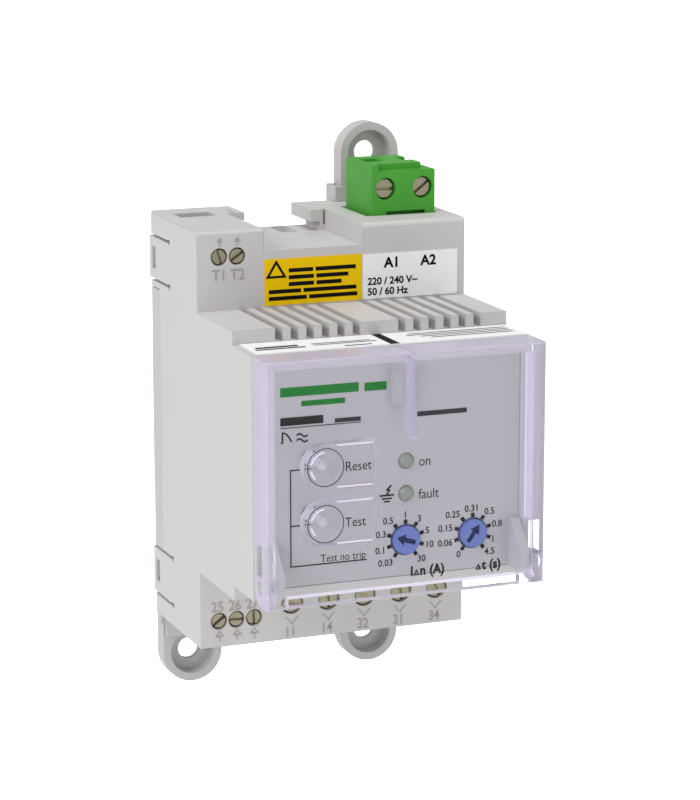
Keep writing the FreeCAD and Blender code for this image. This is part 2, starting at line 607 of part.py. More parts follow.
def build():
    save("front_housing", front_housing())
    save("rear_base", rear_base())
    save("front_fascia", front_fascia())
    save("caution_label", label(SENSOR_X1 + 0.1, 5.8, 25.4, 34.2))
    save("supply_label", label(SUPPLY_X0 + 0.1, 25.5, 25.4, 34.0))
    save("ledge_label", box(-25.8, 26.6, -NOSE2_DEPTH + 0.4, -NOSE1_DEPTH - 0.2,
                            NOSE2_H / 2, NOSE2_H / 2 + 0.15))
    save("main_board", main_board())
    save("control_board", control_board())
    save("supply_transformer", supply_transformer())
    save("output_relay_a", output_relay(1.6))
    save("output_relay_b", output_relay(13.2))
    save("smoothing_capacitor", smoothing_capacitor())
    save("sensor_terminal_block", terminal_block("sensor", -24.5, -16.2, 31.2, 37.8))
    save("alarm_terminal_block", terminal_block("alarm", -25.0, -14.2, -37.8, -31.4))
    save("contact_terminal_block", terminal_block("contact", -12.4, 24.9, -37.8, -29.0))
    save("plug_header", plug_header())
    save("clear_cover", clear_cover())
    save("rail_catch", rail_catch())
    save("catch_spring", catch_spring())
    save("lug_top", lug(LUG_X, LUG_TOP_Z))
    save("lug_bottom_left", lug(-LUG_X, LUG_LOW_Z))
    save("lug_bottom_right", lug(LUG_X, LUG_LOW_Z))
    save("supply_plug", supply_plug())
    for name, z in PADS:
        save(name + "_tongue", tongue(z))
        save(name + "_button", button(z))
        save(name + "_switch", tact_switch(z))
    for name, x, degrees in SELECTORS:
        save(name + "_selector", selector(x, degrees))
        save(name + "_switch_body", switch_body(x))
    for name, z in LEDS:
        save("led_" + name, led(z))
    for name, x, z, kind, way in terminals():
        save(name + "_screw", terminal_screw(x, z, kind, -BODY_DEPTH + 0.4, CAGE_Y, SCREW_SLOT_DEG[name]))
        save(name + "_cage", terminal_cage(x, z, kind, CAGE_Y))
    for i, x in enumerate(PLUG_SCREWS):
        save("plug_%d_screw" % (i + 1),
             terminal_screw(x, PLUG_SCREW_Z, PLUG_KIND, PLUG_FRONT + PLUG_SINK, PLUG_CAGE_Y,
                            PLUG_SLOT_DEG[i]))
        save("plug_%d_cage" % (i + 1), terminal_cage(x, PLUG_SCREW_Z, PLUG_KIND, PLUG_CAGE_Y))


build()
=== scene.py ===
import math
import bmesh
import bpy
import numpy as np
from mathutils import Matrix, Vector


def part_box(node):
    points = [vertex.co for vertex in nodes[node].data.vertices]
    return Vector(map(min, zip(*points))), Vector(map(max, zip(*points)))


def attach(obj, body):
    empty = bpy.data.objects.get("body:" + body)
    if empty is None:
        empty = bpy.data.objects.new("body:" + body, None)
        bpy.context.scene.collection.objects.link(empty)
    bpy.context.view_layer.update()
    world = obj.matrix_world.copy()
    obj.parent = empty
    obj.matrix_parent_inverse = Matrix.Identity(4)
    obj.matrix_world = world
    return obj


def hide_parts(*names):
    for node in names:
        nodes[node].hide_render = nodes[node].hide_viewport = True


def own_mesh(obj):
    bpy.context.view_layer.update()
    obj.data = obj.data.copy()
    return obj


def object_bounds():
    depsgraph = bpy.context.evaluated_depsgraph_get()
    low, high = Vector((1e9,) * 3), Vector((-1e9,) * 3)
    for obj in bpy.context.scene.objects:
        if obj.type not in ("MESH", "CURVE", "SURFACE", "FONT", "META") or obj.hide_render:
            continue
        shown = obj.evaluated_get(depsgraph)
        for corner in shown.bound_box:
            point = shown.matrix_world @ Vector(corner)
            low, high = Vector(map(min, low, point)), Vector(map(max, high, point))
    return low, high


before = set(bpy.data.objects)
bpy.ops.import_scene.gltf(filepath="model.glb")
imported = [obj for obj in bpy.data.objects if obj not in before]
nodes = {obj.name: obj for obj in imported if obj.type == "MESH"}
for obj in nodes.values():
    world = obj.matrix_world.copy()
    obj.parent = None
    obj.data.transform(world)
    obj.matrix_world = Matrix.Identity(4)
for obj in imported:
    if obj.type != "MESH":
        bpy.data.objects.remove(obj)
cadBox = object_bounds()
mm = 0.001

# planes that the added pieces lie on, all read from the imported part
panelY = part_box("front_housing")[0][1]
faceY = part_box("caution_label")[1][1]
print("frame loaded, panel at", round(panelY, 4), "terminal face at", round(faceY, 4))


def linear(hexColour):
    # sRGB hex to the linear values that shaders want
    part = np.array([int(hexColour[i:i + 2], 16) for i in (1, 3, 5)]) / 255.0
    lin = np.where(part <= 0.04045, part / 12.92, ((part + 0.055) / 1.055) ** 2.4)
    return (float(lin[0]), float(lin[1]), float(lin[2]), 1.0)


def addNode(tree, kind, settings=None, links=None):
    # one node, its own settings and socket values, and what its sockets are fed from
    node = tree.nodes.new(kind)
    for key, value in (settings or {}).items():
        if isinstance(key, str) and hasattr(node, key):
            setattr(node, key, value)
        else:
            node.inputs[key].default_value = value
    for key, source in (links or {}).items():
        tree.links.new(source, node.inputs[key])
    return node


def startMaterial(name):
    material = bpy.data.materials.new(name)
    material.use_nodes = True
    material.node_tree.nodes.clear()
    return material, material.node_tree


def endMaterial(tree, shader):
    addNode(tree, "ShaderNodeOutputMaterial", links={"Surface": shader})


def meshPiece(name, verts, faces, smooth=True):
    mesh = bpy.data.meshes.new(name)
    mesh.from_pydata(np.asarray(verts, float).tolist(), [], [list(f) for f in faces])
    mesh.update()
    if smooth:
        mesh.polygons.foreach_set("use_smooth", np.ones(len(mesh.polygons), bool))
    piece = bpy.data.objects.new(name, mesh)
    bpy.context.scene.collection.objects.link(piece)
    return piece


def finishPiece(piece, body, material):
    piece.data.materials.clear()
    piece.data.materials.append(material)
    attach(piece, body)
    return piece


def gridFaces(rows, cols, closed):
    # quads over a rows by cols grid; closed joins the last column to the first
    r = np.arange(rows - 1)[:, None]
    c = np.arange(cols if closed else cols - 1)[None, :]
    n = (c + 1) % cols
    quads = np.stack([r * cols + c, r * cols + n, (r + 1) * cols + n, (r + 1) * cols + c], axis=-1)
    return quads.reshape(-1, 4)


def mergeClose(piece, distance=1e-6):
    work = bmesh.new()
    work.from_mesh(piece.data)
    bmesh.ops.remove_doubles(work, verts=work.verts, dist=distance)
    bmesh.ops.dissolve_degenerate(work, edges=work.edges, dist=distance)
    bmesh.ops.recalc_face_normals(work, faces=work.faces)
    work.to_mesh(piece.data)
    work.free()


def slab(x0, x1, z0, z1, y, thick, corner, steps=6):
    # flat plate with rounded corners, standing in X and Z, its front thick in front of y
    a = np.linspace(0, math.pi / 2, steps)
    quarter = np.stack([np.cos(a), np.sin(a)], axis=-1) * corner
    turn = np.array([[0, -1], [1, 0]])
    cornersAt = [(x1 - corner, z1 - corner), (x0 + corner, z1 - corner),
                 (x0 + corner, z0 + corner), (x1 - corner, z0 + corner)]
    ring = np.concatenate([quarter @ np.linalg.matrix_power(turn, k).T + cornersAt[k] for k in range(4)])
    n = len(ring)
    back = np.stack([ring[:, 0], np.full(n, y), ring[:, 1]], axis=-1)
    front = back - [0, thick, 0]
    i = np.arange(n)
    sides = np.stack([i, (i + 1) % n, (i + 1) % n + n, i + n], axis=-1).tolist()
    return np.concatenate([back, front]), sides + [(i + n).tolist(), i[::-1].tolist()]


def flatToPlace(points, plane, at):
    # points drawn in (right, up, out) put on a wall, or on a ledge where up runs back
    right, up, out = points[:, 0], points[:, 1], points[:, 2]
    if plane == "wall":
        return np.stack([right + at[0], at[1] - out, up + at[2]], axis=-1)
    return np.stack([right + at[0], up + at[1], out + at[2]], axis=-1)


def lettering(name, text, height, at, plane="wall", raised=0.03, align="LEFT", shear=0.0, bold=0.0, squeeze=1.0):
    # text drawn as a curve, made a mesh, then its points are placed
    curve = bpy.data.curves.new(name, "FONT")
    curve.body = text
    curve.size = height * mm / 0.70
    curve.align_x = align
    curve.extrude = raised * mm / 2
    curve.offset = bold * mm
    curve.shear = shear
    curve.resolution_u = 4
    draft = bpy.data.objects.new(name + "_draft", curve)
    bpy.context.scene.collection.objects.link(draft)
    bpy.context.view_layer.update()
    evaluated = draft.evaluated_get(bpy.context.evaluated_depsgraph_get())
    mesh = bpy.data.meshes.new_from_object(evaluated)
    bpy.data.objects.remove(draft)
    flat = np.empty(len(mesh.vertices) * 3)
    mesh.vertices.foreach_get("co", flat)
    pts = flat.reshape(-1, 3)
    pts[:, 0] *= squeeze
    mesh.vertices.foreach_set("co", flatToPlace(pts, plane, at).ravel())
    mesh.update()
    piece = bpy.data.objects.new(name, mesh)
    bpy.context.scene.collection.objects.link(piece)
    return piece


def inkStrip(points, width, thick=0.03, closed=False):
    # flat band of one width carried along a path of (right, up) points in mm: each path point gives
    # two corners, set off by half the width, over the cosine of half the bend, across the mean
    # direction of the two segments that meet there
    path = np.asarray(points, float) * mm
    inward, onward = path - np.roll(path, 1, axis=0), np.roll(path, -1, axis=0) - path
    if not closed:
        inward[0], onward[-1] = onward[0], inward[-1]
    inward = inward / np.linalg.norm(inward, axis=1, keepdims=True)
    onward = onward / np.linalg.norm(onward, axis=1, keepdims=True)
    along = (inward + onward) / np.maximum(np.linalg.norm(inward + onward, axis=1, keepdims=True), 1e-9)
    cosine = np.clip(np.sum(along * inward, axis=1, keepdims=True), 0.35, 1)
    across = np.stack([-along[:, 1], along[:, 0]], axis=-1) * width * mm / 2 / cosine
    n = len(path)
    rim = np.concatenate([path + across, path - across])
    low = np.concatenate([rim, np.zeros((2 * n, 1))], axis=1)
    high = low + [0, 0, thick * mm]
    i = np.arange(n if closed else n - 1)
    j = (i + 1) % n
    faces = [np.stack([i + n, j + n, j, i], axis=-1) + 2 * n,
             np.stack([i, j, j + n, i + n], axis=-1),
             np.stack([i, i + 2 * n, j + 2 * n, j], axis=-1),
             np.stack([j + n, j + 3 * n, i + 3 * n, i + n], axis=-1)]
    if not closed:
        faces.append(np.array([[0, n, 3 * n, 2 * n], [n - 1, 3 * n - 1, 4 * n - 1, 2 * n - 1]]))
    return np.concatenate([low, high]), np.concatenate(faces)


def inkPiece(name, strips, plane, at):
    # several strips joined into one thin printed piece
    starts = np.cumsum([0] + [len(points) for points, side in strips])
    verts = np.concatenate([points for points, side in strips])
    faces = np.concatenate([side + start for (points, side), start in zip(strips, starts)])
    piece = meshPiece(name, flatToPlace(verts, plane, at), faces, smooth=False)
    mergeClose(piece, 1e-7)
    return piece


print("helpers ready")


plasticLook = {
    "body": ("mouldedPolycarbonateGrey", "#CBC9C8", 0.46, 0.35),
    "base": ("mouldedPolyamideGrey", "#C3C1C0", 0.50, 0.35),
    "panel": ("satinPanelGrey", "#B9B8BD", 0.40, 0.15),
    "terminal": ("mouldedInsulatorGrey", "#8E8C8A", 0.55, 0.3),
    "switch": ("mouldedSwitchBlack", "#1B1B1E", 0.5, 0.2),
    "button": ("mouldedButtonWhite", "#DAD9D5", 0.42, 0.15),
    "relay": ("mouldedRelayBlack", "#202124", 0.45, 0.2),
}


def mouldedPlastic(name, colour, roughness, edge, texture=0.5):
    # injection moulded plastic: an even satin with a very fine spark-eroded grain, faintly uneven
    # gloss, and slightly soft edges that catch a thin line of light
    material, tree = startMaterial(name)
    place = addNode(tree, "ShaderNodeTexCoord")
    cloud = addNode(tree, "ShaderNodeTexNoise", {"Scale": 55.0, "Detail": 3.0}, {"Vector": place.outputs["Object"]})
    grain = addNode(tree, "ShaderNodeTexNoise", {"Scale": 1 / (0.45 * mm), "Detail": 2.0},
                    {"Vector": place.outputs["Object"]})
    base = linear(colour)
    tone = addNode(tree, "ShaderNodeMapRange", {"From Min": 0.3, "From Max": 0.7, "To Min": 0.975, "To Max": 1.02},
                   {"Value": cloud.outputs["Fac"]})
    tint = addNode(tree, "ShaderNodeMix", {"data_type": "RGBA", "blend_type": "MULTIPLY", 0: 1.0, 6: base},
                   {7: tone.outputs["Result"]})
    gloss = addNode(tree, "ShaderNodeMapRange", {"From Min": 0.3, "From Max": 0.7, "To Min": roughness - 0.04,
                                                 "To Max": roughness + 0.05}, {"Value": cloud.outputs["Fac"]})
    soft = addNode(tree, "ShaderNodeBevel", {"samples": 6, "Radius": edge * mm})
    bump = addNode(tree, "ShaderNodeBump", {"Strength": 0.10 * texture, "Distance": 0.02 * mm},
                   {"Height": grain.outputs["Fac"], "Normal": soft.outputs["Normal"]})
    shader = addNode(tree, "ShaderNodeBsdfPrincipled", {"IOR": 1.5, "Specular IOR Level": 0.45},
                     {"Base Color": tint.outputs[2], "Roughness": gloss.outputs["Result"],
                      "Normal": bump.outputs["Normal"]})
    endMaterial(tree, shader.outputs[0])
    return material


plastics = {key: mouldedPlastic(*look) for key, look in plasticLook.items()}


glazingLook = {"face": "#FDFDFE", "side": "#E2D8F2", "milk": "#CFC9DB", "cloudy": 0.6, "roughness": 0.03,
               "ior": 1.14, "deepest": 6}


def clearPolycarbonate(name):
    # polished clear polycarbonate: nearly invisible face on, pale lavender on its side and rim faces
    # where the light has a long way through, and a thin bright line of gloss along the edges
    material, tree = startMaterial(name)
    place = addNode(tree, "ShaderNodeTexCoord")
    axes = addNode(tree, "ShaderNodeSeparateXYZ", links={0: place.outputs["Normal"]})
    facing = addNode(tree, "ShaderNodeMath", {"operation": "ABSOLUTE"}, {0: axes.outputs["Y"]})
    front = addNode(tree, "ShaderNodeMapRange", {"From Min": 0.6, "From Max": 0.95}, {"Value": facing.outputs[0]})
    tint = addNode(tree, "ShaderNodeMix", {"data_type": "RGBA", 6: linear(glazingLook["side"]),
                                           7: linear(glazingLook["face"])}, {0: front.outputs["Result"]})
    glass = addNode(tree, "ShaderNodeBsdfPrincipled",
                    {"Roughness": glazingLook["roughness"], "IOR": glazingLook["ior"],
                     "Transmission Weight": 1.0, "Coat Weight": 0.15, "Coat IOR": 1.5},
                    {"Base Color": tint.outputs[2]})
    # side and rim faces also scatter some light, which makes the walls read as pale solid edges
    milk = addNode(tree, "ShaderNodeBsdfPrincipled",
                   {"Base Color": linear(glazingLook["milk"]), "Roughness": 0.2, "IOR": 1.5,
                    "Specular IOR Level": 0.2})
    cloudy = addNode(tree, "ShaderNodeMapRange", {"To Min": glazingLook["cloudy"], "To Max": 0.0},
                     {"Value": front.outputs["Result"]})
    wall = addNode(tree, "ShaderNodeMixShader",
                   links={0: cloudy.outputs["Result"], 1: glass.outputs[0], 2: milk.outputs[0]})
    through = addNode(tree, "ShaderNodeBsdfTransparent", {"Color": (0.95, 0.945, 0.965, 1.0)})
    ray = addNode(tree, "ShaderNodeLightPath")
    both = addNode(tree, "ShaderNodeMath", {"operation": "MAXIMUM"},
                   {0: ray.outputs["Is Shadow Ray"], 1: ray.outputs["Is Diffuse Ray"]})
    # light that bounced too long inside goes straight out, so corners do not turn black
    deep = addNode(tree, "ShaderNodeMath", {"operation": "GREATER_THAN", 1: glazingLook["deepest"]},
                   {0: ray.outputs["Ray Depth"]})
    free = addNode(tree, "ShaderNodeMath", {"operation": "MAXIMUM"}, {0: both.outputs[0], 1: deep.outputs[0]})
    mix = addNode(tree, "ShaderNodeMixShader", links={0: free.outputs[0], 1: wall.outputs[0], 2: through.outputs[0]})
    endMaterial(tree, mix.outputs[0])
    return material


clearCoverMaterial = clearPolycarbonate("polishedClearPolycarbonate")


def printedFilm(name, colour, roughness=0.35, sheen=0.2):
    # printed polyester film: flat even colour under a slight sheen, thin paler edge
    material, tree = startMaterial(name)
    place = addNode(tree, "ShaderNodeTexCoord")
    fibre = addNode(tree, "ShaderNodeTexNoise", {"Scale": 1 / (0.8 * mm), "Detail": 2.0},
                    {"Vector": place.outputs["Object"]})
    tone = addNode(tree, "ShaderNodeMapRange", {"To Min": 0.97, "To Max": 1.02}, {"Value": fibre.outputs["Fac"]})
    tint = addNode(tree, "ShaderNodeMix", {"data_type": "RGBA", "blend_type": "MULTIPLY", 0: 1.0, 6: linear(colour)},
                   {7: tone.outputs["Result"]})
    shader = addNode(tree, "ShaderNodeBsdfPrincipled",
                     {"IOR": 1.5, "Roughness": roughness, "Specular IOR Level": sheen},
                     {"Base Color": tint.outputs[2]})
    endMaterial(tree, shader.outputs[0])
    return material


yellowFilm = printedFilm("printedYellowFilm", "#F6CB00", 0.5, 0.1)
whiteFilm = printedFilm("printedSilverWhiteFilm", "#F8F8FA", 0.4)
blackInk = printedFilm("screenPrintedBlackInk", "#0C0C0F", 0.6, 0.1)
softInk = printedFilm("screenPrintedGreyInk", "#2C2B33", 0.6, 0.1)
greenInk = printedFilm("screenPrintedGreenInk", "#067A24", 0.6, 0.1)
# grey for the moulded terminal marks: painted shade, standing in for the shading along the edges of the raised marks
reliefMarkPaintedShade = printedFilm("paintedShadeOnMouldedMarks", "#A8A3A0", 0.5, 0.3)


greenPlugLook = {"colour": "#50AC3C", "deep": "#439A30", "roughness": 0.45}


def greenPolyamide():
    # glass-filled green polyamide: saturated satin green, faint flow marks and softly lit edges
    material, tree = startMaterial("mouldedGreenPolyamide")
    place = addNode(tree, "ShaderNodeTexCoord")
    flow = addNode(tree, "ShaderNodeTexNoise", {"Scale": 180.0, "Detail": 3.0}, {"Vector": place.outputs["Object"]})
    tint = addNode(tree, "ShaderNodeMix", {"data_type": "RGBA", 6: linear(greenPlugLook["deep"]),
                                           7: linear(greenPlugLook["colour"])}, {0: flow.outputs["Fac"]})
    soft = addNode(tree, "ShaderNodeBevel", {"samples": 6, "Radius": 0.25 * mm})
    shader = addNode(tree, "ShaderNodeBsdfPrincipled", {"IOR": 1.53, "Roughness": greenPlugLook["roughness"],
                      "Specular IOR Level": 0.2},
                     {"Base Color": tint.outputs[2], "Normal": soft.outputs["Normal"]})
    endMaterial(tree, shader.outputs[0])
    return material


greenPlug = greenPolyamide()


def nickelPlate(name, colour, roughness):
    # nickel-plated brass, machine turned: warm grey metal with fine circular tool marks
    material, tree = startMaterial(name)
    place = addNode(tree, "ShaderNodeTexCoord")
    marks = addNode(tree, "ShaderNodeTexNoise", {"Scale": 1 / (0.25 * mm), "Detail": 3.0, "Roughness": 0.7},
                    {"Vector": place.outputs["Object"]})
    gloss = addNode(tree, "ShaderNodeMapRange", {"To Min": roughness - 0.08, "To Max": roughness + 0.12},
                    {"Value": marks.outputs["Fac"]})
    soft = addNode(tree, "ShaderNodeBevel", {"samples": 6, "Radius": 0.12 * mm})
    bump = addNode(tree, "ShaderNodeBump", {"Strength": 0.25, "Distance": 0.01 * mm},
                   {"Height": marks.outputs["Fac"], "Normal": soft.outputs["Normal"]})
    shader = addNode(tree, "ShaderNodeBsdfPrincipled", {"Base Color": linear(colour), "Metallic": 1.0},
                     {"Roughness": gloss.outputs["Result"], "Normal": bump.outputs["Normal"]})
    endMaterial(tree, shader.outputs[0])
    return material


screwMetal = nickelPlate("nickelPlatedBrass", "#A09A82", 0.32)
cageMetal = nickelPlate("zincPlatedSteel", "#B4B6B8", 0.35)
springMetal = nickelPlate("drawnSpringSteel", "#9A9A9C", 0.28)


def dialPlastic():
    # dyed acetal dial: even mid blue with a soft satin
    material, tree = startMaterial("dyedBlueAcetal")
    place = addNode(tree, "ShaderNodeTexCoord")
    cloud = addNode(tree, "ShaderNodeTexNoise", {"Scale": 400.0, "Detail": 2.0}, {"Vector": place.outputs["Object"]})
    tint = addNode(tree, "ShaderNodeMix", {"data_type": "RGBA", 6: linear("#5468B4"), 7: linear("#6479C6")},
                   {0: cloud.outputs["Fac"]})
    soft = addNode(tree, "ShaderNodeBevel", {"samples": 6, "Radius": 0.15 * mm})
    shader = addNode(tree, "ShaderNodeBsdfPrincipled", {"IOR": 1.48, "Roughness": 0.38},
                     {"Base Color": tint.outputs[2], "Normal": soft.outputs["Normal"]})
    endMaterial(tree, shader.outputs[0])
    return material


dialBlue = dialPlastic()
# dark blue for the dial arrows: painted shade, standing in for the shade inside each dial's engraved arrow
arrowRecessPaintedShade = printedFilm("paintedShadeInDialArrow", "#161C52", 0.5, 0.1)


def diffusedLens():
    # milky green-grey epoxy lens: unlit, light sinks in a little and it shines softly
    material, tree = startMaterial("diffusedGreyEpoxyLens")
    shader = addNode(tree, "ShaderNodeBsdfPrincipled",
                     {"Base Color": linear("#8A9286"), "IOR": 1.5, "Roughness": 0.25,
                      "Subsurface Weight": 0.3, "Subsurface Scale": 0.8 * mm})
    endMaterial(tree, shader.outputs[0])
    return material


lensGrey = diffusedLens()


def circuitBoard():
    # solder mask over copper: dark green with slightly lighter tracks 0.6 mm wide
    material, tree = startMaterial("solderMaskGreen")
    place = addNode(tree, "ShaderNodeTexCoord")
    tracks = addNode(tree, "ShaderNodeTexWave", {"wave_type": "BANDS", "bands_direction": "X", "Scale": 260.0,
                                                 "Distortion": 6.0, "Detail": 1.0},
                     {"Vector": place.outputs["Object"]})
    edge = addNode(tree, "ShaderNodeMapRange", {"From Min": 0.45, "From Max": 0.55}, {"Value": tracks.outputs["Fac"]})
    tint = addNode(tree, "ShaderNodeMix", {"data_type": "RGBA", 6: linear("#0E3A22"), 7: linear("#17583A")},
                   {0: edge.outputs["Result"]})
    shader = addNode(tree, "ShaderNodeBsdfPrincipled", {"IOR": 1.5, "Roughness": 0.3}, {"Base Color": tint.outputs[2]})
    endMaterial(tree, shader.outputs[0])
    return material


boardGreen = circuitBoard()


def laminatedSteel():
    # stacked core plates 0.5 mm thick under varnish: dark bands with thin bright lines
    material, tree = startMaterial("varnishedCoreLaminations")
    place = addNode(tree, "ShaderNodeTexCoord")
    plates = addNode(tree, "ShaderNodeTexWave", {"wave_type": "BANDS", "bands_direction": "Y", "Scale": 320.0},
                     {"Vector": place.outputs["Object"]})
    tint = addNode(tree, "ShaderNodeMix", {"data_type": "RGBA", 6: linear("#3A3C40"), 7: linear("#6A6D72")},
                   {0: plates.outputs["Fac"]})
    shader = addNode(tree, "ShaderNodeBsdfPrincipled", {"Metallic": 0.6, "Roughness": 0.5},
                     {"Base Color": tint.outputs[2]})
    endMaterial(tree, shader.outputs[0])
    return material


coreSteel = laminatedSteel()
canSleeve = printedFilm("shrunkSleeveBlue", "#2B3560", 0.35)

dressing = {
    "front_housing": plastics["body"], "rear_base": plastics["base"], "lug_top": plastics["base"],
    "lug_bottom_left": plastics["base"], "lug_bottom_right": plastics["base"], "rail_catch": plastics["base"],
    "front_fascia": plastics["panel"], "clear_cover": clearCoverMaterial, "reset_tongue": clearCoverMaterial,
    "test_tongue": clearCoverMaterial, "caution_label": yellowFilm, "supply_label": whiteFilm,
    "ledge_label": whiteFilm, "main_board": boardGreen, "control_board": boardGreen,
    "supply_transformer": coreSteel, "output_relay_a": plastics["relay"], "output_relay_b": plastics["relay"],
    "smoothing_capacitor": canSleeve, "sensor_terminal_block": plastics["terminal"],
    "alarm_terminal_block": plastics["terminal"], "contact_terminal_block": plastics["terminal"],
    "supply_plug": greenPlug, "plug_header": greenPlug, "current_selector": dialBlue, "delay_selector": dialBlue,
    "current_switch_body": plastics["switch"], "delay_switch_body": plastics["switch"],
    "reset_switch": plastics["switch"], "test_switch": plastics["switch"], "reset_button": plastics["button"],
    "test_button": plastics["button"], "led_on": lensGrey, "led_fault": lensGrey, "catch_spring": springMetal,
}
for nodeName, node in nodes.items():
    material = dressing.get(nodeName)
    if nodeName.endswith("_screw"):
        material = screwMetal
    if nodeName.endswith("_cage"):
        material = cageMetal
    node.data.materials.clear()
    node.data.materials.append(material)
print("materials on", len(nodes), "nodes")


panelPrint = {
    "squeeze": 0.88,
    "words": [("Reset", -9.4, 0.05, 1.8), ("Test", -9.4, -10.35, 1.8), ("on", 4.95, -0.2, 1.85),
              ("fault", 4.95, -6.35, 1.85), ("Test no trip", -14.2, -16.45, 1.45)],
}
for text, x, z, height in panelPrint["words"]:
    name = "print_" + text.replace(" ", "_")
    piece = lettering(name, text, height, (x * mm, panelY, z * mm), squeeze=panelPrint["squeeze"])
    finishPiece(piece, "housing", blackInk)

# each number sits where its middle is given, in mm right and up; the angles start at the lower left
dials = {
    "current": {"x": 2.42, "rest": -72, "nameAt": -20.75,
                "marks": [("0.03", -1.5, -17.8), ("0.1", -2.5, -15.4), ("0.3", -2.4, -12.4), ("0.5", -1.0, -9.95),
                          ("1", 2.37, -9.1), ("3", 5.15, -10.05), ("5", 6.75, -12.4), ("10", 7.15, -15.1),
                          ("30", 5.6, -17.6)],
                "name": [("I", 3.4), ("n", 5.3), ("(A)", 7.2)], "sign": 4.6},
    "delay": {"x": 15.79, "rest": 36, "nameAt": -20.95,
              "marks": [("0", 13.0, -17.6), ("0.06", 10.3, -15.2), ("0.15", 10.35, -12.4), ("0.25", 11.8, -9.95),
                        ("0.31", 15.6, -9.1), ("0.5", 19.15, -9.95), ("0.8", 20.7, -12.45), ("1", 19.9, -15.3),
                        ("4.5", 19.25, -17.6)],
              "name": [("t", 17.75), ("(s)", 19.2)], "sign": 17.0},
}
dialLook = {"z": -13.8, "tickIn": 2.95, "tickOut": 3.8, "tickWide": 0.72, "number": 1.22, "name": 1.75, "sign": 0.95}
dialZ = dialLook["z"]
for dialName, dial in dials.items():
    ticks = []
    for k, (mark, x, z) in enumerate(dial["marks"]):
        angle = math.radians(-144 + 36 * k)  # clockwise from the top
        out = np.array([math.sin(angle), math.cos(angle)])
        centre = np.array([dial["x"], dialZ])
        ticks.append(inkStrip([centre + out * dialLook["tickIn"], centre + out * dialLook["tickOut"]],
                              dialLook["tickWide"]))
        piece = lettering("print_%s_%d" % (dialName, k), mark, dialLook["number"],
                          (x * mm, panelY, (z - dialLook["number"] / 2) * mm), align="CENTER", bold=0.03, squeeze=0.98)
        finishPiece(piece, "housing", blackInk)
    piece = inkPiece("print_%s_ticks" % dialName, ticks, "wall", (0, panelY, 0))
    finishPiece(piece, "housing", blackInk)
    for k, (text, x) in enumerate(dial["name"]):
        piece = lettering("print_%s_name_%d" % (dialName, k), text, dialLook["name"],
                          (x * mm, panelY, dial["nameAt"] * mm), bold=0.1, squeeze=0.92)
        finishPiece(piece, "housing", blackInk)
    x, z, tall = dial["sign"], dial["nameAt"], dialLook["sign"]
    sign = [inkStrip([(x - 0.42, z + 0.1), (x, z + tall), (x + 0.42, z + 0.1)], 0.24, closed=True)]
    finishPiece(inkPiece("print_%s_sign" % dialName, sign, "wall", (0, panelY, 0)), "housing", blackInk)

panelLines = {"width": 0.24, "left": -19.9, "top": 1.1, "second": -9.2, "bottom": -16.75, "stop": -5.2}
strips = [inkStrip([(-16.0, panelLines["top"]), (panelLines["left"], panelLines["top"]),
                    (panelLines["left"], panelLines["bottom"]), (panelLines["stop"], panelLines["bottom"])],
                   panelLines["width"]),
          inkStrip([(panelLines["left"], panelLines["second"]), (-16.0, panelLines["second"])], panelLines["width"])]
finishPiece(inkPiece("print_button_line", strips, "wall", (0, panelY, 0)), "housing", blackInk)

# plain bars where names and numbers of the maker would be
bars = {
    "print_bar_green": ([((-21.8, 15.45), (-6.8, 15.45), 1.7), ((-5.7, 15.3), (-1.4, 15.3), 1.55)], greenInk),
    "print_bar_sub": ([((-17.8, 13.2), (-9.4, 13.2), 1.0)], greenInk),
    "print_bar_type": ([((-21.8, 10.1), (-13.6, 10.1), 1.5)], blackInk),
    "print_bar_note": ([((-11.4, 9.6), (-6.4, 9.6), 0.8), ((3.4, 9.5), (14.4, 9.5), 0.9)], softInk),
}
for name, (lines, ink) in bars.items():
    strips = [inkStrip([a, b], width) for a, b, width in lines]
    finishPiece(inkPiece(name, strips, "wall", (0, panelY, 0)), "housing", ink)

# wave-form sign: a half pulse that rises at once and falls away, and two ripples over each other
t = np.linspace(0, 1, 14)
pulse = np.stack([-21.4 + 1.75 * t, 6.35 + 1.75 * np.cos(0.5 * math.pi * t ** 1.15)], axis=-1)
rippleHigh = np.stack([-18.7 + 2.1 * t, 7.45 + 0.3 * np.sin(2 * math.pi * t)], axis=-1)
rippleLow = np.stack([-18.7 + 2.1 * t, 6.5 + 0.3 * np.sin(2 * math.pi * t)], axis=-1)
strips = [inkStrip(np.concatenate([[(-21.75, 6.3), (-21.42, 6.3)], pulse]), 0.3), inkStrip(rippleHigh, 0.32),
          inkStrip(rippleLow, 0.32), inkStrip([(-21.8, 8.95), (-6.3, 8.95)], 0.16)]
finishPiece(inkPiece("print_wave_sign", strips, "wall", (0, panelY, 0)), "housing", blackInk)

# earth-fault sign: a flash over an earth mark of three lines
strips = [inkStrip([(-0.4, -3.3), (-1.25, -4.1), (-0.75, -4.25), (-1.35, -5.0)], 0.34),
          inkStrip([(-2.7, -5.15), (0.1, -5.15)], 0.34), inkStrip([(-2.3, -5.75), (-0.3, -5.75)], 0.3),
          inkStrip([(-1.9, -6.3), (-0.7, -6.3)], 0.3)]
finishPiece(inkPiece("print_earth_sign", strips, "wall", (0, panelY, 0)), "housing", blackInk)
print("panel printed")
